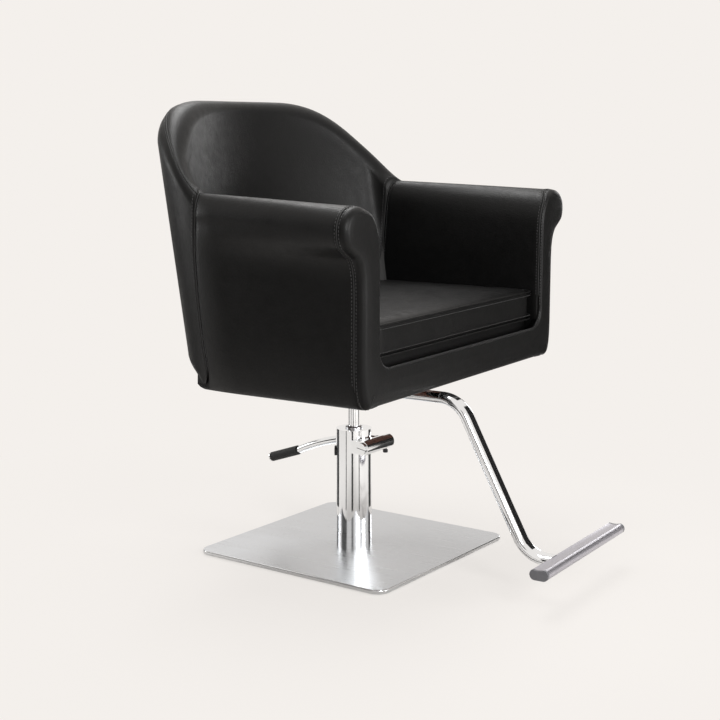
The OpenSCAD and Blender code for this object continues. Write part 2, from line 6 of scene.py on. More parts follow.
import bmesh
import bpy
import numpy as np
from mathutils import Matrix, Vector
from mathutils.geometry import tessellate_polygon


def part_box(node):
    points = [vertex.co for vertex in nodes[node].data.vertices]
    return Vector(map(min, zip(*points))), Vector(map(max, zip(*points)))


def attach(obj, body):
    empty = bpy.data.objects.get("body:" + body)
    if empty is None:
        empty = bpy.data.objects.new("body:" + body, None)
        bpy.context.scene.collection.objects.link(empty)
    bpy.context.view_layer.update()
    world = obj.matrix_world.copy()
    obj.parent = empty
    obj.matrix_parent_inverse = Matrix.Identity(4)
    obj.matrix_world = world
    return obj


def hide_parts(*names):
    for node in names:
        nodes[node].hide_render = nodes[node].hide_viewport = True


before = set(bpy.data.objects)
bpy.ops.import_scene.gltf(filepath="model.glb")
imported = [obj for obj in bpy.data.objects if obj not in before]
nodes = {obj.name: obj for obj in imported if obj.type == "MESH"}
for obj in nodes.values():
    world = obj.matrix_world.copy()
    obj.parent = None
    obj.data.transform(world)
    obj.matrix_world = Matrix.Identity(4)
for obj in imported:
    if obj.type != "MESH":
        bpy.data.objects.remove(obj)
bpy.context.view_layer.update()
scene = bpy.context.scene


# ------------------------------------------------------------------ helpers

def smooth(u):
    """0 to 1 with level ends."""
    u = min(1.0, max(0.0, u))
    return u * u * (3 - 2 * u)


def mix(a, b, f):
    return a + (b - a) * f


def mesh_piece(name, verts, faces, mat, body="seat", flat=False):
    mesh = bpy.data.meshes.new(name)
    mesh.from_pydata([tuple(v) for v in verts], [], faces)
    mesh.validate()
    bm = bmesh.new()
    bm.from_mesh(mesh)
    bmesh.ops.recalc_face_normals(bm, faces=bm.faces)
    bm.to_mesh(mesh)
    bm.free()
    if not flat:
        for p in mesh.polygons:
            p.use_smooth = True
    obj = bpy.data.objects.new(name, mesh)
    scene.collection.objects.link(obj)
    obj.data.materials.append(mat)
    if body:
        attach(obj, body)
    return obj


def loft(rings, cap=True):
    """Vertices and faces of closed rings of equal size, joined in order and closed at both ends."""
    n = len(rings[0])
    verts = [tuple(p) for ring in rings for p in ring]
    faces = []
    for i in range(len(rings) - 1):
        for j in range(n):
            a, b = i * n + j, i * n + (j + 1) % n
            faces.append((a, b, b + n, a + n))
    if cap:
        for i in (0, len(rings) - 1):
            for tri in tessellate_polygon([[Vector(p) for p in rings[i]]]):
                faces.append(tuple(i * n + k for k in tri))
    return verts, faces


def spline(points, n, closed=False):
    """n points, evenly spaced along a Catmull-Rom curve through points."""
    p = np.array(points, float)
    if closed:
        ext = np.vstack([p[-1], p, p[0], p[1]])
    else:
        ext = np.vstack([2 * p[0] - p[1], p, 2 * p[-1] - p[-2]])
    out = []
    for i in range(1, len(ext) - 2):
        a, b, c, d = ext[i - 1:i + 3]
        for t in np.linspace(0, 1, 16, endpoint=False):
            out.append(0.5 * (2 * b + (c - a) * t + (2 * a - 5 * b + 4 * c - d) * t * t
                              + (3 * b - a - 3 * c + d) * t ** 3))
    out.append(ext[-2])
    return resample(np.array(out), n, closed)


def resample(p, n, closed=False):
    s = np.concatenate([[0], np.cumsum(np.linalg.norm(np.diff(p, axis=0), axis=1))])
    t = np.linspace(0, s[-1], n, endpoint=not closed)
    return np.stack([np.interp(t, s, p[:, k]) for k in range(p.shape[1])], axis=1)


def tube(name, points, radius, mat, body="seat", sides=8, scale=None):
    """A round bead along points, closed at both ends."""
    p = np.array(points, float)
    tan = np.gradient(p, axis=0)
    tan /= np.linalg.norm(tan, axis=1)[:, None]
    up = np.array([0.3, 0.2, 0.93])
    rings = []
    u = np.cross(tan[0], up)
    for i, t in enumerate(tan):
        u = u - t * (u @ t)
        u /= np.linalg.norm(u)
        v = np.cross(t, u)
        r = radius * (1 if scale is None else scale[i])
        rings.append([p[i] + r * (math.cos(a) * u + math.sin(a) * v)
                      for a in np.linspace(0, 2 * math.pi, sides, endpoint=False)])
    verts, faces = loft(rings)
    return mesh_piece(name, verts, faces, mat, body)


def stitches(name, rows, mat, body="seat", pitch=0.0062, length=0.0042, radius=0.00055):
    """Rows of short thread loops. Each row is a list of (point, outward normal)."""
    verts, faces = [], []
    for row in rows:
        p = np.array([a for a, _ in row], float)
        q = np.array([b for _, b in row], float)
        s = np.concatenate([[0], np.cumsum(np.linalg.norm(np.diff(p, axis=0), axis=1))])
        for at in np.arange(pitch, s[-1] - pitch, pitch):
            c = np.array([np.interp(at, s, p[:, k]) for k in range(3)])
            d = np.array([np.interp(at + 0.001, s, p[:, k]) for k in range(3)]) - c
            if np.linalg.norm(d) < 1e-9:
                continue
            d /= np.linalg.norm(d)
            n = np.array([np.interp(at, s, q[:, k]) for k in range(3)])
            n -= d * (n @ d)
            n /= max(1e-9, np.linalg.norm(n))
            w = np.cross(d, n)
            base = len(verts)
            for x, lift, r in ((-0.5, -0.6, 0.35), (-0.34, 0.35, 1.0), (0, 0.6, 1.1),
                               (0.34, 0.35, 1.0), (0.5, -0.6, 0.35)):
                for k in range(6):
                    a = math.pi * k / 3
                    verts.append(c + d * x * length
                                 + n * radius * (lift + r * math.sin(a))
                                 + w * radius * r * math.cos(a))
            for i in range(4):
                for k in range(6):
                    a, b = base + i * 6 + k, base + i * 6 + (k + 1) % 6
                    faces.append((a, b, b + 6, a + 6))
            faces.append(tuple(base + k for k in range(5, -1, -1)))
            faces.append(tuple(base + 24 + k for k in range(6)))
    return mesh_piece(name, verts, faces, mat, body)


# ---------------------------------------------------------------- materials

class Nodes:
    """Short hand for building one material's node tree."""

    def __init__(self, name):
        self.mat = bpy.data.materials.new(name)
        self.mat.use_nodes = True
        self.tree = self.mat.node_tree
        self.bsdf = self.tree.nodes["Principled BSDF"]
        self.coord = self.tree.nodes.new("ShaderNodeTexCoord")

    def add(self, kind, **values):
        node = self.tree.nodes.new(kind)
        for key, value in values.items():
            if key in node.inputs:
                node.inputs[key].default_value = value
            else:
                setattr(node, key, value)
        return node

    def link(self, a, b):
        self.tree.links.new(a, b)

    def noise(self, scale, detail=3.0, stretch=None, rough=0.5):
        tex = self.add("ShaderNodeTexNoise", Scale=scale, Detail=detail, Roughness=rough)
        vec = self.coord.outputs["Object"]
        if stretch:
            mapping = self.add("ShaderNodeMapping")
            mapping.inputs["Scale"].default_value = stretch
            self.link(vec, mapping.inputs["Vector"])
            vec = mapping.outputs["Vector"]
        self.link(vec, tex.inputs["Vector"])
        return tex.outputs["Fac"]

    def ramp(self, value, low, high, a=0.0, b=1.0):
        node = self.add("ShaderNodeMapRange")
        node.inputs["From Min"].default_value = a
        node.inputs["From Max"].default_value = b
        node.inputs["To Min"].default_value = low
        node.inputs["To Max"].default_value = high
        self.link(value, node.inputs["Value"])
        return node.outputs["Result"]

    def colour(self, value, dark, light):
        node = self.add("ShaderNodeValToRGB")
        node.color_ramp.elements[0].color = (*dark, 1)
        node.color_ramp.elements[1].color = (*light, 1)
        self.link(value, node.inputs["Fac"])
        self.link(node.outputs["Color"], self.bsdf.inputs["Base Color"])
        return node

    def bump(self, height, strength, distance, under=None):
        node = self.add("ShaderNodeBump", Strength=strength, Distance=distance)
        self.link(height, node.inputs["Height"])
        if under:
            self.link(under, node.inputs["Normal"])
        return node.outputs["Normal"]

    def done(self, normal=None, **values):
        for key, value in values.items():
            self.bsdf.inputs[key.replace("_", " ")].default_value = value
        if normal:
            self.link(normal, self.bsdf.inputs["Normal"])
        return self.mat


def leather(name, grain=0.42):
    """Black leatherette: fine pebbles, faint wrinkles and an uneven soft gloss."""
    m = Nodes(name)
    pebble = m.add("ShaderNodeTexVoronoi", Scale=430.0)
    pebble.feature = "SMOOTH_F1"
    m.link(m.coord.outputs["Object"], pebble.inputs["Vector"])
    fine = m.noise(1500.0, 2.0)
    broad = m.noise(9.0, 3.0)
    wear = m.noise(60.0, 4.0)
    m.colour(broad, (0.0022, 0.0022, 0.0023), (0.0048, 0.0047, 0.0046))
    m.link(m.ramp(wear, 0.37, 0.46, 0.3, 0.7), m.bsdf.inputs["Roughness"])
    n1 = m.bump(pebble.outputs["Distance"], grain, 0.0006)
    n2 = m.bump(fine, 0.12, 0.0003, n1)
    n3 = m.bump(broad, 0.35, 0.004, n2)
    return m.done(n3, Specular_IOR_Level=0.20)


def chrome(name, rough=0.04, tint=0.90):
    m = Nodes(name)
    cloud = m.noise(25.0, 3.0)
    m.colour(cloud, (tint * 0.96, tint * 0.975, tint * 0.99), (tint * 0.985, tint, tint * 1.015))
    m.link(m.ramp(m.noise(90.0, 3.0), rough, rough * 1.9, 0.3, 0.75), m.bsdf.inputs["Roughness"])
    return m.done(Metallic=1.0)


def brushed(name, stretch, tint=(0.62, 0.635, 0.655), rough=0.30, depth=0.05):
    m = Nodes(name)
    streak = m.noise(420.0, 5.0, stretch=stretch, rough=0.65)
    m.colour(streak, tuple(c * 0.86 for c in tint), tint)
    m.link(m.ramp(streak, rough - 0.05, rough + 0.07, 0.3, 0.7), m.bsdf.inputs["Roughness"])
    return m.done(m.bump(streak, depth, 0.0004), Metallic=1.0, Anisotropic=0.35)


def plain(name, dark, light, rough, metallic=0.0, scale=300.0, depth=0.1, **more):
    """Moulded, cast, painted or turned material with a fine texture."""
    m = Nodes(name)
    grit = m.noise(scale, 4.0)
    m.colour(grit, dark, light)
    m.link(m.ramp(grit, rough * 0.88, min(1.0, rough * 1.12), 0.3, 0.7), m.bsdf.inputs["Roughness"])
    return m.done(m.bump(grit, depth, 0.0004), Metallic=metallic, **more)


def wood(name, dark, light):
    m = Nodes(name)
    grain = m.noise(30.0, 6.0, stretch=(0.4, 6.0, 9.0), rough=0.6)
    m.colour(grain, dark, light)
    return m.done(m.bump(grain, 0.15, 0.0006), Roughness=0.6)


LEATHER = leather("black_leatherette")
CUSHION_LEATHER = leather("cushion_leatherette", 0.32)
SEAM = plain("seam_fold", (0.003, 0.003, 0.003), (0.006, 0.006, 0.006), 0.6)
THREAD = plain("thread", (0.026, 0.026, 0.027), (0.050, 0.050, 0.051), 0.42, scale=2500.0)
CHROME = chrome("chrome")
STAINLESS = brushed("brushed_stainless", (1.0, 0.02, 1.0))
RIM = chrome("polished_rim", 0.09, 0.74)
STEEL = plain("zinc_plate", (0.42, 0.42, 0.43), (0.52, 0.52, 0.53), 0.34, 1.0)
DARK_STEEL = plain("black_steel", (0.012, 0.012, 0.013), (0.024, 0.024, 0.025), 0.42)
CAST = plain("painted_casting", (0.018, 0.018, 0.019), (0.03, 0.03, 0.031), 0.5, scale=500.0, depth=0.3)
RUBBER = plain("black_rubber", (0.010, 0.010, 0.010), (0.020, 0.020, 0.020), 0.62, scale=900.0, depth=0.25)
BRONZE = plain("turned_bronze", (0.40, 0.27, 0.11), (0.52, 0.36, 0.15), 0.35, 1.0)
# black-stained, because a little of it shows at the inner corners beside the covers
LINED_PLY = wood("lined_plywood", (0.008, 0.008, 0.008), (0.016, 0.015, 0.014))
BROWN = wood("brown_board", (0.055, 0.016, 0.008), (0.10, 0.032, 0.016))
SATIN = brushed("satin_bar", (0.02, 1.0, 1.0), (0.50, 0.49, 0.53), 0.34, 0.04)
GREY_CAP = plain("grey_cap", (0.10, 0.10, 0.11), (0.15, 0.15, 0.16), 0.45)

FINISH = {
    "base_ballast": DARK_STEEL, "floor_glides": RUBBER, "base_bolts": STEEL,
    "base_collar": CHROME, "pump_foot": CAST, "column_tube": CHROME, "pump_head": CHROME,
    "inner_cylinder": STEEL, "rod_bushing": BRONZE, "rod_wiper": STEEL,
    "shaft_plug_screw": CHROME, "lever_stop_pad": RUBBER, "plunger_sleeve": BRONZE,
    "piston_rod": CHROME, "piston_head": STEEL, "piston_seals": RUBBER,
    "pump_plunger": STEEL, "rocker_shaft": STEEL, "pump_cam": CAST, "lever_hub": CHROME,
    "clamp_bolt": DARK_STEEL, "lever_arm": CHROME, "grip_cap": CHROME,
    "cone_socket": CAST, "seat_plate": DARK_STEEL, "plate_bolts": STEEL,
    "underside_board": BROWN, "seat_frame": LINED_PLY, "arm_frame_left": LINED_PLY,
    "arm_frame_right": LINED_PLY, "back_frame": LINED_PLY, "frame_screws": DARK_STEEL,
    "strut_saddle": DARK_STEEL, "footrest_strut": CHROME, "strut_bolts": STEEL,
    "t_bar": SATIN, "t_bar_cap_left": GREY_CAP, "t_bar_cap_right": GREY_CAP, "lever_grip": RUBBER,
}
for node, mat in FINISH.items():
    data = nodes[node].data
    if not data.materials:
        data.materials.append(mat)
    for i in range(len(data.materials)):
        nodes[node].material_slots[i].material = mat


# -------------------------------------------------------------- tub surfaces

arm_lo, arm_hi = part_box("left_arm")
back_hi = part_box("back_shell")[1]
rail_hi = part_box("front_rail")[1]
cushion_lo, cushion_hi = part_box("seat_cushion")

FRONT = arm_lo.y                       # front face of the arms
BOTTOM = arm_lo.z
TOP = back_hi.z
HALF = back_hi.x                       # outer face of the arms
INNER = arm_lo.x + 0.005               # inner face of the arm covers, 5 mm outside the CAD arm's
ARM_TOP = arm_hi.z
TUB_R = 0.225                          # radius of the tub's rear corners, seen from above
LIFT = ARM_TOP - 0.720                 # the section points below are for arms 0.720 m high


def rear_out(z):
    """How far back the outside of the back stands at a height."""
    return 0.2315 + (z - BOTTOM) * 0.162


def rear_in(z):
    return 0.201 + (z - 0.515) * 0.17


def outer_x(y, z):
    """Outer face of the tub at a depth and height."""
    dy = max(0.0, y - (rear_out(z) - TUB_R))
    return HALF - TUB_R + math.sqrt(max(1e-6, TUB_R ** 2 - dy * dy))


def seam_out(z):
    """Depth of the arm-to-back seam on the outside, and below on the inside."""
    return 0.106 - 0.45 * max(0.0, 0.62 - z) ** 2 - 0.10 * max(0.0, z - 0.64)


def seam_in(z):
    return 0.118 + 0.075 * max(0.0, 0.722 - z)


def crest(y):
    """Height of the back's top edge at a depth."""
    u = (y - 0.085) / 0.200
    return mix(ARM_TOP + 0.009, TOP, smooth(u))


def front_seam(x):
    """Depth of the seam round the front panel: on the edge inside, further back outside."""
    return FRONT + mix(0.0075, 0.0200, smooth((abs(x) - INNER - 0.012) / 0.045))


FRONT_SECTION = [
    (INNER, 0.400), (INNER, 0.470), (INNER, 0.560), (INNER, 0.630), (INNER + 0.006, 0.669),
    (INNER + 0.023, 0.698), (INNER + 0.045, 0.7105), (HALF + 0.008, 0.7140),
    (HALF + 0.032, 0.7085), (HALF + 0.048, 0.6925), (HALF + 0.0525, 0.671),
    (HALF + 0.046, 0.650), (HALF + 0.029, 0.637), (HALF + 0.013, 0.626),
    (HALF + 0.0035, 0.608), (HALF, 0.580), (HALF, 0.510), (HALF, 0.440),
    (HALF - 0.002, 0.410), (HALF - 0.008, 0.386), (HALF - 0.021, BOTTOM - 0.001),
    (HALF - 0.050, BOTTOM - 0.001), (INNER, BOTTOM - 0.001)]
REAR_SECTION = [
    (INNER, 0.400), (INNER, 0.470), (INNER, 0.560), (INNER, 0.650), (INNER + 0.0015, 0.690),
    (INNER + 0.010, 0.714), (INNER + 0.022, 0.7245), (INNER + 0.033, 0.7255),
    (INNER + 0.044, 0.719), (INNER + 0.052, 0.706), (INNER + 0.0560, 0.690),
    (HALF - 0.0005, 0.674), (HALF, 0.657), (HALF, 0.640),
    (HALF, 0.615), (HALF, 0.580), (HALF, 0.510), (HALF, 0.445),
    (HALF - 0.002, 0.415), (HALF - 0.008, 0.389), (HALF - 0.019, BOTTOM - 0.001),
    (HALF - 0.050, BOTTOM - 0.001), (INNER, BOTTOM - 0.001)]
SECTION_N = 150


def lifted(points):
    return [(x, z + LIFT * smooth((z - 0.56) / 0.07)) for x, z in points]


_front = spline(lifted(FRONT_SECTION), SECTION_N)
_rear = spline(lifted(REAR_SECTION), SECTION_N)


def arm_point(f, k):
    """Point k of the arm's section, f of the way from the front seam to the rear one."""
    x, z = mix(_front[k], _rear[k], f ** 0.9)
    y_end = mix(seam_in(z), seam_out(z), min(1.0, max(0.0, (x - INNER) / (HALF - INNER))))
    y = mix(front_seam(x), y_end, f)
    x -= (HALF - outer_x(y, z)) * smooth((x - INNER - 0.015) / 0.045)
    return np.array([x, y, z])


def arm_frame_at(f, k):
    """Point and outward normal on the arm."""
    p = arm_point(f, k)
    a = arm_point(f, min(k + 1, SECTION_N - 1)) - arm_point(f, max(k - 1, 0))
    b = arm_point(min(1.0, f + 0.01), k) - arm_point(max(0.0, f - 0.01), k)
    n = np.cross(a, b)
    return p, n / np.linalg.norm(n)


def mirrored(p):
    return np.array([-p[0], p[1], p[2]])


def build_arm(name, node, side):
    """One upholstered arm with its outward roll. Its ends dip into the seams."""
    steps = [0.0] + list(np.linspace(0.012, 0.988, 46)) + [1.0]
    rings = []
    for f in steps:
        ring = []
        end = f in (0.0, 1.0)
        for k in range(SECTION_N):
            p, n = arm_frame_at(f, k)
            # a slight crown on the outer face
            crown = 0.0028 * math.sin(math.pi * f) * smooth((p[2] - 0.40) / 0.08) \
                * smooth((0.66 - p[2]) / 0.08)
            p = p + n * (crown - (0.0016 if end else 0.0))
            ring.append(p if side > 0 else mirrored(p))
        rings.append(ring)
    verts, faces = loft(rings)
    obj = mesh_piece(name, verts, faces, LEATHER)
    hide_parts(node)
    return obj


# ------------------------------------------------------------------ the back

LEVELS = np.linspace(0.36, 0.90, 28)
PATH_N = 200


def _plan(z, inside):
    if inside:
        y0, r = seam_in(z), 0.64
        corner = rear_in(z) - (r - math.sqrt(r * r - INNER ** 2))
        pts = [(INNER, y) for y in np.linspace(y0, max(y0 + 0.001, corner), 12)]
        for a in np.linspace(math.asin(INNER / r), 0, 60):
            y = rear_in(z) - r + r * math.cos(a)
            if y > pts[-1][1] + 0.0005 or len(pts) > 12:
                pts.append((r * math.sin(a), y))
    else:
        y0, r = seam_out(z), TUB_R
        yc = rear_out(z) - r
        start = math.asin(min(1.0, max(0.0, (y0 - yc) / r)))
        pts = [(HALF, y) for y in np.linspace(y0, yc, 6)] if yc > y0 else []
        pts += [(HALF - r + r * math.cos(a), yc + r * math.sin(a))
                for a in np.linspace(start, math.pi / 2, 60)]
        pts += [(x, rear_out(z)) for x in np.linspace(HALF - r, 0, 10)[1:]]
    p = resample(np.array(pts), PATH_N)
    window = 25 if inside else 5
    both = np.vstack([2 * p[0] - p[window:0:-1], p,
                      (p * [-1, 1])[-2:-window - 2:-1]])
    kernel = np.hanning(2 * window + 1)
    kernel /= kernel.sum()
    out = np.stack([np.convolve(both[:, k], kernel, "valid") for k in range(2)], axis=1)
    return out[:PATH_N]


PLAN_IN = np.array([_plan(z, True) for z in LEVELS])
PLAN_OUT = np.array([_plan(z, False) for z in LEVELS])


def wall(t, z, inside):
    """A point of the back's inner or outer wall: t runs from -1, the sitter's right seam, to 1."""
    side = -1 if t < 0 else 1
    at = (1 - abs(t)) * (PATH_N - 1)
    i = min(int(at), PATH_N - 2)
    table = PLAN_IN if inside else PLAN_OUT
    lz = min(len(LEVELS) - 1.001, max(0.0, (z - LEVELS[0]) / (LEVELS[1] - LEVELS[0])))
    j = int(lz)
    row = mix(table[j], table[j + 1], lz - j)
    x, y = mix(row[i], row[i + 1], at - i)
    return np.array([side * x, y, z])


def back_section(t):
    """Closed section of the back at t, from inside the deck, up, over the crest and down."""
    z = zo = 0.80
    for _ in range(5):
        a, b = wall(t, z, True), wall(t, zo, False)
        top = crest((a[1] + b[1]) / 2) - 0.005 * smooth((abs(b[0]) - 0.15) / 0.15)
        half = np.linalg.norm((b - a)[:2]) / 2
        z = top - min(0.036, half * 0.9)
        zo = top - min(0.062, half * 1.35)
    pts, tags = [], []
    for level in np.linspace(0.42, z, 26)[:-1]:
        pts.append(wall(t, level, True))
        tags.append("in")
    a, b = wall(t, z, True), wall(t, zo, False)
    m = mix(a, b, 0.46)
    for ang in np.linspace(0, math.pi / 2, 13):
        p = m + (a - m) * math.cos(ang)
        p[2] = z + (top - z) * math.sin(ang)
        pts.append(p)
        tags.append("top")
    for ang in np.linspace(0, math.pi / 2, 15)[1:]:
        p = m + (b - m) * math.sin(ang)
        p[2] = zo + (top - zo) * math.cos(ang)
        pts.append(p)
        tags.append("top")
    low = BOTTOM + 0.006 + 0.017 * smooth((1 - abs(t)) / 0.35)
    r = 0.034
    for level in np.linspace(zo, low + r, 30)[1:]:
        pts.append(wall(t, level, False))
        tags.append("out")
    edge = wall(t, low + r, False)
    inward = wall(t, low + r, True) - edge
    inward /= np.linalg.norm(inward)
    for ang in np.linspace(0, math.pi / 2, 9)[1:]:
        p = edge + inward * r * (1 - math.cos(ang))
        p[2] = low + r - r * math.sin(ang)
        pts.append(p)
        tags.append("low")
    foot = wall(t, 0.42, True)
    pts.append(np.array([foot[0], foot[1], low]))
    tags.append("low")
    return np.array(pts), tags


BACK_T = np.concatenate([[-1.0], np.linspace(-0.994, 0.994, 150), [1.0]])
BACK_RINGS = [back_section(t)[0] for t in BACK_T]
BACK_TAGS = back_section(0.0)[1]


def back_normal(i, k):
    i0, i1 = max(0, i - 1), min(len(BACK_RINGS) - 1, i + 1)
    k0, k1 = max(0, k - 1), min(len(BACK_TAGS) - 1, k + 1)
    n = np.cross(BACK_RINGS[i][k1] - BACK_RINGS[i][k0], BACK_RINGS[i1][k] - BACK_RINGS[i0][k])
    n /= max(1e-9, np.linalg.norm(n))
    c = BACK_RINGS[i].mean(axis=0)
    return n if n @ (BACK_RINGS[i][k] - c) > 0 else -n


WING_K = BACK_TAGS.index("top") + 17         # the seam on the crest's outer shoulder


def build_back():
    """The padded back in one closed form: inside, crest and outside."""
    rings = []
    for i, ring in enumerate(BACK_RINGS):
        out = []
        end = i in (0, len(BACK_RINGS) - 1)
        for k, p in enumerate(ring):
            n = back_normal(i, k)
            dip = 0.0016 if end else 0.0
            if k == WING_K:
                dip += 0.0009
            crown = 0.0
            if BACK_TAGS[k] == "in":
                crown = 0.004 * math.cos(BACK_T[i] * math.pi / 2) \
                    * smooth((p[2] - 0.5) / 0.12) * smooth((0.86 - p[2]) / 0.12)
            out.append(p + n * (crown - dip))
        rings.append(out)
    verts, faces = loft(rings)
    obj = mesh_piece("back_upholstery", verts, faces, LEATHER)
    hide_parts("back_shell", "back_pad")
    return obj


# --------------------------------------------------------- front panel frame

def front_outline():
    """Outline of the front panel: both rolls, both outer sides and the opening."""
    pts = _front
    top = [tuple(p) for p in pts if p[1] > 0.476 or p[0] > INNER + 0.02]
    first = next(i for i, p in enumerate(pts) if p[1] > 0.476)
    last = max(i for i, p in enumerate(pts) if p[0] > INNER + 0.031)
    right = [tuple(p) for p in pts[first:last + 1]]
    left = [(-x, z) for x, z in reversed(right)]
    r, sill = 0.035, rail_hi.z - 0.001
    low = [(x, BOTTOM) for x in np.linspace(INNER + 0.02, -INNER - 0.02, 60)]
    corner = [(-INNER + r - r * math.cos(a), sill + r - r * math.sin(a))
              for a in np.linspace(0, math.pi / 2, 12)]
    top_edge = [(x, sill) for x in np.linspace(-INNER + r + 0.006, INNER - r - 0.006, 60)]
    corner2 = [(-x, z) for x, z in reversed(corner)]
    outline = right + low + left + corner + top_edge + corner2
    return resample(np.array(outline + [outline[0]]), 620, closed=True)


OUTLINE = front_outline()


def _outline_normals():
    d = np.roll(OUTLINE, -1, axis=0) - np.roll(OUTLINE, 1, axis=0)
    d /= np.linalg.norm(d, axis=1)[:, None]
    n = np.stack([-d[:, 1], d[:, 0]], axis=1)
    area = 0.5 * np.sum(OUTLINE[:, 0] * np.roll(OUTLINE[:, 1], -1)
                        - np.roll(OUTLINE[:, 0], -1) * OUTLINE[:, 1])
    return n * (-1 if area > 0 else 1)     # outward


OUT_N = _outline_normals()


def edge_shape(i):
    """Radius and straight part of the front panel's rounded edge at outline point i."""
    x, z = OUTLINE[i]
    outside = max(smooth((abs(x) - INNER - 0.012) / 0.045), smooth((0.415 - z) / 0.02))
    return mix(0.0065, 0.0135, outside), front_seam(x) - FRONT - mix(0.0065, 0.0135, outside)


EDGE = [edge_shape(i) for i in range(len(OUTLINE))]


def nose_point(i, s):
    """Point and normal on the front panel's edge, s metres from its seam."""
    r, straight = EDGE[i]
    s = min(s, straight + r * math.pi / 2)
    if s < straight:
        off, y, n2, ny = 0.0, FRONT + r + straight - s, 1.0, 0.0
    else:
        a = (s - straight) / r
        off, y = r * (1 - math.cos(a)), FRONT + r - r * math.sin(a)
        n2, ny = math.cos(a), -math.sin(a)
    p = OUTLINE[i] - OUT_N[i] * off
    return np.array([p[0], y, p[1]]), np.array([OUT_N[i][0] * n2, ny, OUT_N[i][1] * n2])


def build_front():
    """The front panel, one cover over both arm fronts and the rail."""
    n = range(len(OUTLINE))
    rings = []
    for off, back in ((0.006, 0.012), (0.006, 0.003), (0.0016, 0.0006)):
        rings.append([(OUTLINE[i][0] - OUT_N[i][0] * off, FRONT + sum(EDGE[i]) + back,
                       OUTLINE[i][1] - OUT_N[i][1] * off) for i in n])
    for u in np.linspace(0.06, 1, 12):
        rings.append([nose_point(i, u * (EDGE[i][1] + EDGE[i][0] * math.pi / 2))[0] for i in n])
    for off, y in ((0.017, FRONT - 0.0006), (0.024, FRONT - 0.0010)):
        rings.append([(p[0], y, p[1]) for p in OUTLINE - OUT_N * off])
    verts, faces = loft(rings)
    obj = mesh_piece("front_panel", verts, faces, LEATHER)
    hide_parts("front_rail")
    return obj


# ------------------------------------------------------------------- cushion

def cushion_plan(inset, n=260):
    """Plan outline of the cushion, drawn in by inset."""
    hw = cushion_hi.x + 0.004 - inset
    y0, y1 = cushion_lo.y + inset, cushion_hi.y - inset
    r = 0.64
    pts = [(-hw, y0), (hw, y0)]
    ys = y1 - (r - math.sqrt(r * r - hw * hw))
    pts += [(hw, y) for y in np.linspace(y0, ys, 14)[1:]]
    pts += [(r * math.sin(a), y1 - r + r * math.cos(a))
            for a in np.linspace(math.asin(hw / r), -math.asin(hw / r), 40)[1:]]
    pts += [(-hw, y) for y in np.linspace(ys, y0, 14)[1:]]
    p = resample(np.array(pts), n, closed=True)
    k = np.array([1.0, 2.0, 3.0, 2.0, 1.0])
    k /= k.sum()
    for _ in range(3):
        p = sum(w * np.roll(p, s, axis=0) for w, s in zip(k, range(-2, 3)))
    return p


def cushion_ring(inset, z):
    return [(x, y, z) for x, y in cushion_plan(inset)]


def swell(obj, cap):
    """Cloth simulation: obj fills under pressure, and no point moves further than cap."""
    mod = obj.modifiers.new("remesh", "REMESH")
    mod.mode = "VOXEL"
    mod.voxel_size = 0.006
    bpy.context.view_layer.objects.active = obj
    bpy.ops.object.select_all(action="DESELECT")
    obj.select_set(True)
    bpy.ops.object.modifier_apply(modifier="remesh")
    start = np.array([v.co[:] for v in obj.data.vertices])
    cloth = obj.modifiers.new("cloth", "CLOTH")
    cloth.settings.use_pressure = True
    cloth.settings.uniform_pressure_force = 4.0
    cloth.settings.effector_weights.gravity = 0.0
    cloth.settings.quality = 6
    scene.frame_start, scene.frame_end = 1, 20
    for at in range(1, 21):
        scene.frame_set(at)
    shape = obj.evaluated_get(bpy.context.evaluated_depsgraph_get())
    end = np.array([v.co[:] for v in shape.data.vertices])
    obj.modifiers.remove(cloth)
    scene.frame_set(1)
    move = end - start
    size = np.linalg.norm(move, axis=1)
    move *= np.minimum(1.0, cap / np.maximum(size, 1e-9))[:, None]
    for v, p in zip(obj.data.vertices, start + move):
        v.co = p
    for p in obj.data.polygons:
        p.use_smooth = True
    sub = obj.modifiers.new("subdivision", "SUBSURF")
    sub.levels = sub.render_levels = 1


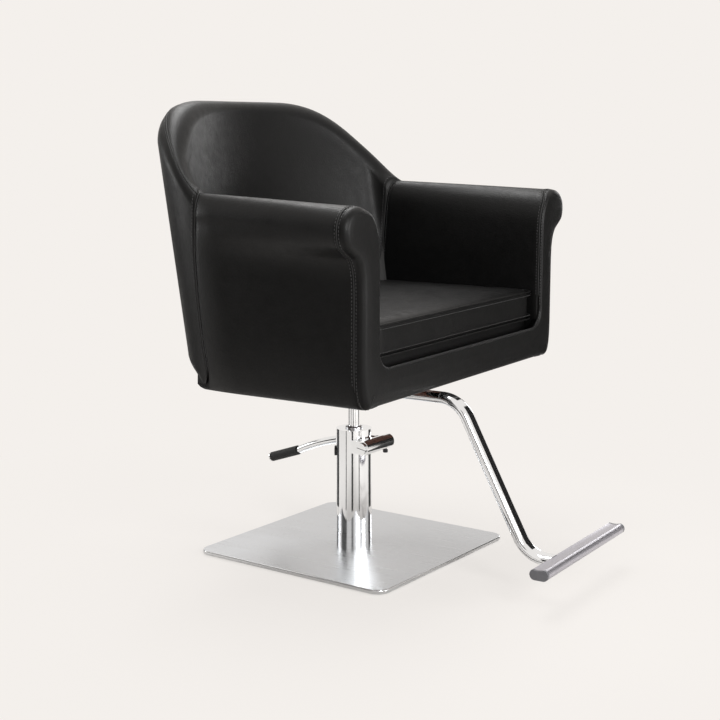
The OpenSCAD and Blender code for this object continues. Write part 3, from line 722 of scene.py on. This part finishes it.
def build_cushion():
    """Box cushion with a crowned top, a flat border and a welt along both edges."""
    z0, z1 = cushion_lo.z + 0.0015, cushion_hi.z - 0.004
    rings = [cushion_ring(0.030, z0)]
    rings += [cushion_ring(i, z0 + dz) for i, dz in ((0.010, 0.0), (0.0055, 0.0012), (0.0045, 0.004))]
    rings += [cushion_ring(0.0042, z) for z in np.linspace(z0 + 0.010, z1 - 0.010, 5)]
    rings += [cushion_ring(i, z1 + dz) for i, dz in ((0.0045, -0.004), (0.0055, -0.0012), (0.010, 0.0))]
    rings += [cushion_ring(i, z1 + 0.0045 * smooth(i / 0.2)) for i in (0.03, 0.06, 0.10, 0.15, 0.19)]
    verts, faces = loft(rings)
    obj = mesh_piece("seat_cushion_cover", verts, faces, CUSHION_LEATHER, body=None)
    swell(obj, 0.004)
    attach(obj, "seat")
    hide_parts("seat_cushion")
    welt_z = (z0 + 0.0026, z1 - 0.0026)
    for name, z in zip(("cushion_welt_low", "cushion_welt_top"), welt_z):
        ring = [[(x + 0.0017 * math.cos(a) * nx, y + 0.0017 * math.cos(a) * ny, z + 0.0017 * math.sin(a))
                 for a in np.linspace(0, 2 * math.pi, 8, endpoint=False)]
                for (x, y), (nx, ny) in zip(cushion_plan(0.0030), plan_normals(cushion_plan(0.0030)))]
        n, m = len(ring), 8
        verts = [p for r in ring for p in r]
        faces = [(i * m + j, i * m + (j + 1) % m, ((i + 1) % n) * m + (j + 1) % m, ((i + 1) % n) * m + j)
                 for i in range(n) for j in range(m)]
        welt = mesh_piece(name, verts, faces, CUSHION_LEATHER)
    rows = []
    for z in (welt_z[0] + 0.0075, welt_z[1] - 0.0075):
        plan = cushion_plan(0.0024)
        plan = np.vstack([plan, plan[:1]])
        normals = plan_normals(cushion_plan(0.0024))
        normals = np.vstack([normals, normals[:1]])
        rows.append([((x, y, z), (nx, ny, 0.0)) for (x, y), (nx, ny) in zip(plan, normals)])
    sewn = stitches("cushion_stitching", rows, THREAD)
    return obj


def plan_normals(p):
    d = np.roll(p, -1, axis=0) - np.roll(p, 1, axis=0)
    d /= np.linalg.norm(d, axis=1)[:, None]
    n = np.stack([d[:, 1], -d[:, 0]], axis=1)
    c = p.mean(axis=0)
    sign = np.sign(np.sum(n * (p - c), axis=1).sum())
    return n * sign


def build_deck():
    """The covered platform that the cushion lies on."""
    lo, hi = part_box("seat_deck")
    rings = []
    for i, z in ((0.004, lo.z), (0.0, lo.z + 0.004), (0.0, hi.z - 0.004), (0.0015, hi.z - 0.0012),
                 (0.004, hi.z)):
        plan = cushion_plan(i - (hi.x - cushion_hi.x) + 0.004)
        rings.append([(x, max(y, lo.y + i), z) for x, y in plan])
    verts, faces = loft(rings)
    obj = mesh_piece("cushion_deck", verts, faces, LEATHER)
    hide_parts("seat_deck")
    return obj


# --------------------------------------------------------------------- seams

def build_seams():
    rows = []
    first = next(k for k in range(SECTION_N) if _front[k][1] > 0.50)
    last = max(k for k in range(SECTION_N) if _front[k][0] > INNER + 0.05)
    for side, word in ((1, "left"), (-1, "right")):
        turn = (lambda p: p) if side > 0 else mirrored
        for f, seam in ((0.0, "front"), (1.0, "rear")):
            line = [turn(arm_frame_at(f, k)[0]) for k in range(first, last)]
            bead = tube(f"{word}_{seam}_seam", line, 0.0012, SEAM, sides=6)
            length = 0.335
            df = 0.0045 / length
            at = df if f == 0.0 else 1.0 - df
            rows.append([(turn(p), turn(n)) for p, n in
                         (arm_frame_at(at, k) for k in range(first, last))])
    # second row of each pair: on the front panel's side, and on the back's side
    rows.append([nose_point(i, 0.004) for i in list(range(len(OUTLINE))) + [0]])
    for i in (2, len(BACK_RINGS) - 3):
        row = [(BACK_RINGS[i][k], back_normal(i, k)) for k in range(5, BACK_TAGS.index("low"))]
        rows.append(row)
    # seam round the crest's outer shoulder, with a row on each side
    line = [BACK_RINGS[i][WING_K] for i in range(len(BACK_RINGS))]
    bead = tube("crest_seam", line, 0.0012, SEAM, sides=6)
    for k in (WING_K - 1, WING_K + 1):
        rows.append([(BACK_RINGS[i][k], back_normal(i, k)) for i in range(1, len(BACK_RINGS) - 1)])
    sewn = stitches("tub_stitching", rows, THREAD)


# ------------------------------------------------------------ rigid details

BASE_TURN = math.radians(-3)           # the base's turn against the seat, as in part.scad
BASE_HALF = 0.225                      # half the base's side, as in part.scad
BASE_CORNER_R = 0.026
BASE_EDGE_R = 0.0022                   # rounding of the top edge


def build_base_cover():
    """Stainless cover with softly rounded polished edges and a brushed top."""
    lo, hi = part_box("base_cover")
    turn, half, r, z0, z1 = BASE_TURN, BASE_HALF, BASE_CORNER_R, lo.z, hi.z

    def ring(inset, z):
        out = []
        rr = r - inset
        for q in range(4):
            cx, cy = ((1, 1), (-1, 1), (-1, -1), (1, -1))[q]
            for a in np.linspace(0, math.pi / 2, 12):
                ang = a + q * math.pi / 2
                x = cx * (half - r) + rr * math.cos(ang)
                y = cy * (half - r) + rr * math.sin(ang)
                out.append((x * math.cos(turn) - y * math.sin(turn),
                            x * math.sin(turn) + y * math.cos(turn), z))
        return out

    edge = BASE_EDGE_R
    rings = [ring(0.0015, z0), ring(0.0004, z0), ring(0.0, z0 + 0.0006), ring(0.0, z1 - edge)]
    for a in np.linspace(0.2, math.pi / 2, 5):
        rings.append(ring(edge * (1 - math.cos(a)), z1 - edge + edge * math.sin(a)))
    rings.append(ring(0.006, z1))
    verts, faces = loft(rings)
    obj = mesh_piece("base_cover_sheet", verts, faces, STAINLESS, "root")
    obj.data.materials.append(RIM)
    for p in obj.data.polygons:
        zs = [obj.data.vertices[v].co.z for v in p.vertices]
        if min(zs) < z1 - 0.0004 and max(zs) > z0 + 1e-5:
            p.material_index = 1
        if max(zs) - min(zs) < 1e-6:
            p.use_smooth = False
    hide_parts("base_cover")


build_arm("left_arm_cover", "left_arm", 1)
build_arm("right_arm_cover", "right_arm", -1)
build_back()
build_front()
build_cushion()
build_deck()
build_seams()
build_base_cover()


# -------------------------------------------------------- floor, light, camera

BACKDROP = (0.905, 0.871, 0.838)
FILL = (0.93, 0.92, 0.91)              # the world's colour for rays other than camera and gloss
FLOOR_HALF = 12.0
CARD_STEPS = 8
# azimuth and width, in degrees, of the dark bands that the chrome column and strut reflect
CARDS = ((203, 11), (88, 30), (334, 30), (163, 5), (246, 6))


def stage_material(name, keep):
    """Pale floor. keep is how much of the shadow the camera sees under the object."""
    mat = bpy.data.materials.new(name)
    mat.use_nodes = True
    tree = mat.node_tree
    tree.nodes.clear()
    out = tree.nodes.new("ShaderNodeOutputMaterial")
    matt = tree.nodes.new("ShaderNodeBsdfDiffuse")
    matt.inputs["Color"].default_value = (*BACKDROP, 1)
    glow = tree.nodes.new("ShaderNodeEmission")
    glow.inputs["Color"].default_value = (*BACKDROP, 1)
    coord = tree.nodes.new("ShaderNodeTexCoord")
    reach = tree.nodes.new("ShaderNodeVectorMath")
    reach.operation = "LENGTH"
    tree.links.new(coord.outputs["Object"], reach.inputs[0])
    fade = tree.nodes.new("ShaderNodeMapRange")
    fade.interpolation_type = "SMOOTHSTEP"
    fade.inputs["From Min"].default_value = 0.25
    fade.inputs["From Max"].default_value = 1.2
    fade.inputs["To Min"].default_value = 1 - keep
    fade.inputs["To Max"].default_value = 1.0
    tree.links.new(reach.outputs["Value"], fade.inputs["Value"])
    path = tree.nodes.new("ShaderNodeLightPath")
    part = tree.nodes.new("ShaderNodeMath")
    part.operation = "MULTIPLY"
    tree.links.new(path.outputs["Is Camera Ray"], part.inputs[0])
    tree.links.new(fade.outputs["Result"], part.inputs[1])
    mixer = tree.nodes.new("ShaderNodeMixShader")
    tree.links.new(part.outputs[0], mixer.inputs["Fac"])
    tree.links.new(matt.outputs[0], mixer.inputs[1])
    tree.links.new(glow.outputs[0], mixer.inputs[2])
    tree.links.new(mixer.outputs[0], out.inputs["Surface"])
    return mat


def flag(name, azimuth, width, z0, z1, near, far):
    """Dark card that only reflections see; angles in degrees, round the origin."""
    rows = []
    for a in np.linspace(azimuth - width / 2, azimuth + width / 2, CARD_STEPS + 1):
        c, s = math.cos(math.radians(a)), math.sin(math.radians(a))
        rows.append([(near * c, near * s, z0), (far * c, far * s, z1)])
    verts = [p for row in rows for p in row]
    faces = [(2 * i, 2 * i + 2, 2 * i + 3, 2 * i + 1) for i in range(CARD_STEPS)]
    obj = mesh_piece(name, verts, faces, CARD, body=None)
    obj.visible_camera = False
    obj.visible_diffuse = False
    obj.visible_shadow = False


def build_stage():
    mesh = bpy.data.meshes.new("floor")
    s = FLOOR_HALF
    mesh.from_pydata([(-s, -s, 0), (s, -s, 0), (s, s, 0), (-s, s, 0)], [], [(0, 1, 2, 3)])
    floor = bpy.data.objects.new("floor", mesh)
    scene.collection.objects.link(floor)
    floor.data.materials.append(stage_material("pale_floor", 0.22))

    world = bpy.data.worlds.new("studio")
    scene.world = world
    world.use_nodes = True
    tree = world.node_tree
    tree.nodes.clear()
    out = tree.nodes.new("ShaderNodeOutputWorld")
    seen = tree.nodes.new("ShaderNodeBackground")
    seen.inputs["Color"].default_value = (*BACKDROP, 1)
    seen.inputs["Strength"].default_value = 1.0
    fill = tree.nodes.new("ShaderNodeBackground")
    fill.inputs["Color"].default_value = (*FILL, 1)
    fill.inputs["Strength"].default_value = 0.28
    path = tree.nodes.new("ShaderNodeLightPath")
    either = tree.nodes.new("ShaderNodeMath")
    either.operation = "MAXIMUM"
    tree.links.new(path.outputs["Is Camera Ray"], either.inputs[0])
    tree.links.new(path.outputs["Is Glossy Ray"], either.inputs[1])
    mixer = tree.nodes.new("ShaderNodeMixShader")
    tree.links.new(either.outputs[0], mixer.inputs["Fac"])
    tree.links.new(fill.outputs[0], mixer.inputs[1])
    tree.links.new(seen.outputs[0], mixer.inputs[2])
    tree.links.new(mixer.outputs[0], out.inputs["Surface"])


def softbox(name, at, towards, size, power):
    data = bpy.data.lights.new(name, "AREA")
    data.shape = "RECTANGLE"
    data.size, data.size_y = size
    data.energy = power
    obj = bpy.data.objects.new(name, data)
    obj.location = at
    obj.rotation_euler = (Vector(towards) - Vector(at)).to_track_quat("-Z", "Y").to_euler()
    scene.collection.objects.link(obj)


CARD = plain("dark_card", (0.004, 0.004, 0.004), (0.006, 0.006, 0.006), 0.9)
build_stage()
for i, (azimuth, width) in enumerate(CARDS):
    flag(f"floor_card_{i}", azimuth, width, 0.002, 0.002, 0.33, 3.4)
    flag(f"tall_card_{i}", azimuth, width, 0.05, 2.2, 3.5, 3.5)
flag("side_card", 146, 38, 0.05, 2.2, 3.6, 3.6)
softbox("key", (-1.7, -2.8, 1.7), (0, 0, 0.7), (0.9, 0.9), 66)
softbox("front", (0.40, -3.0, 1.0), (0, 0.2, 0.75), (0.8, 0.9), 34)
softbox("right", (3.0, -0.1, 0.95), (0, 0.2, 0.8), (0.7, 0.9), 10)
softbox("back", (1.3, 1.2, 2.9), (0, 0, 0.65), (1.2, 1.0), 26)
softbox("top", (0.1, 0.4, 2.9), (0, 0, 0.6), (1.4, 1.1), 26)
softbox("side", (-0.7, 3.0, 1.0), (-0.3, 0.1, 0.7), (0.7, 1.2), 13)

camera_data = bpy.data.cameras.new("camera")
camera_data.lens = 69.0
camera_data.sensor_width = 36.0
camera = bpy.data.objects.new("camera", camera_data)
camera.location = (-2.2864, -1.4847, 0.8491)
camera.rotation_euler = (math.radians(80.405), 0.0, math.radians(-57.26))
scene.collection.objects.link(camera)
scene.camera = camera
scene.view_settings.view_transform = "Standard"
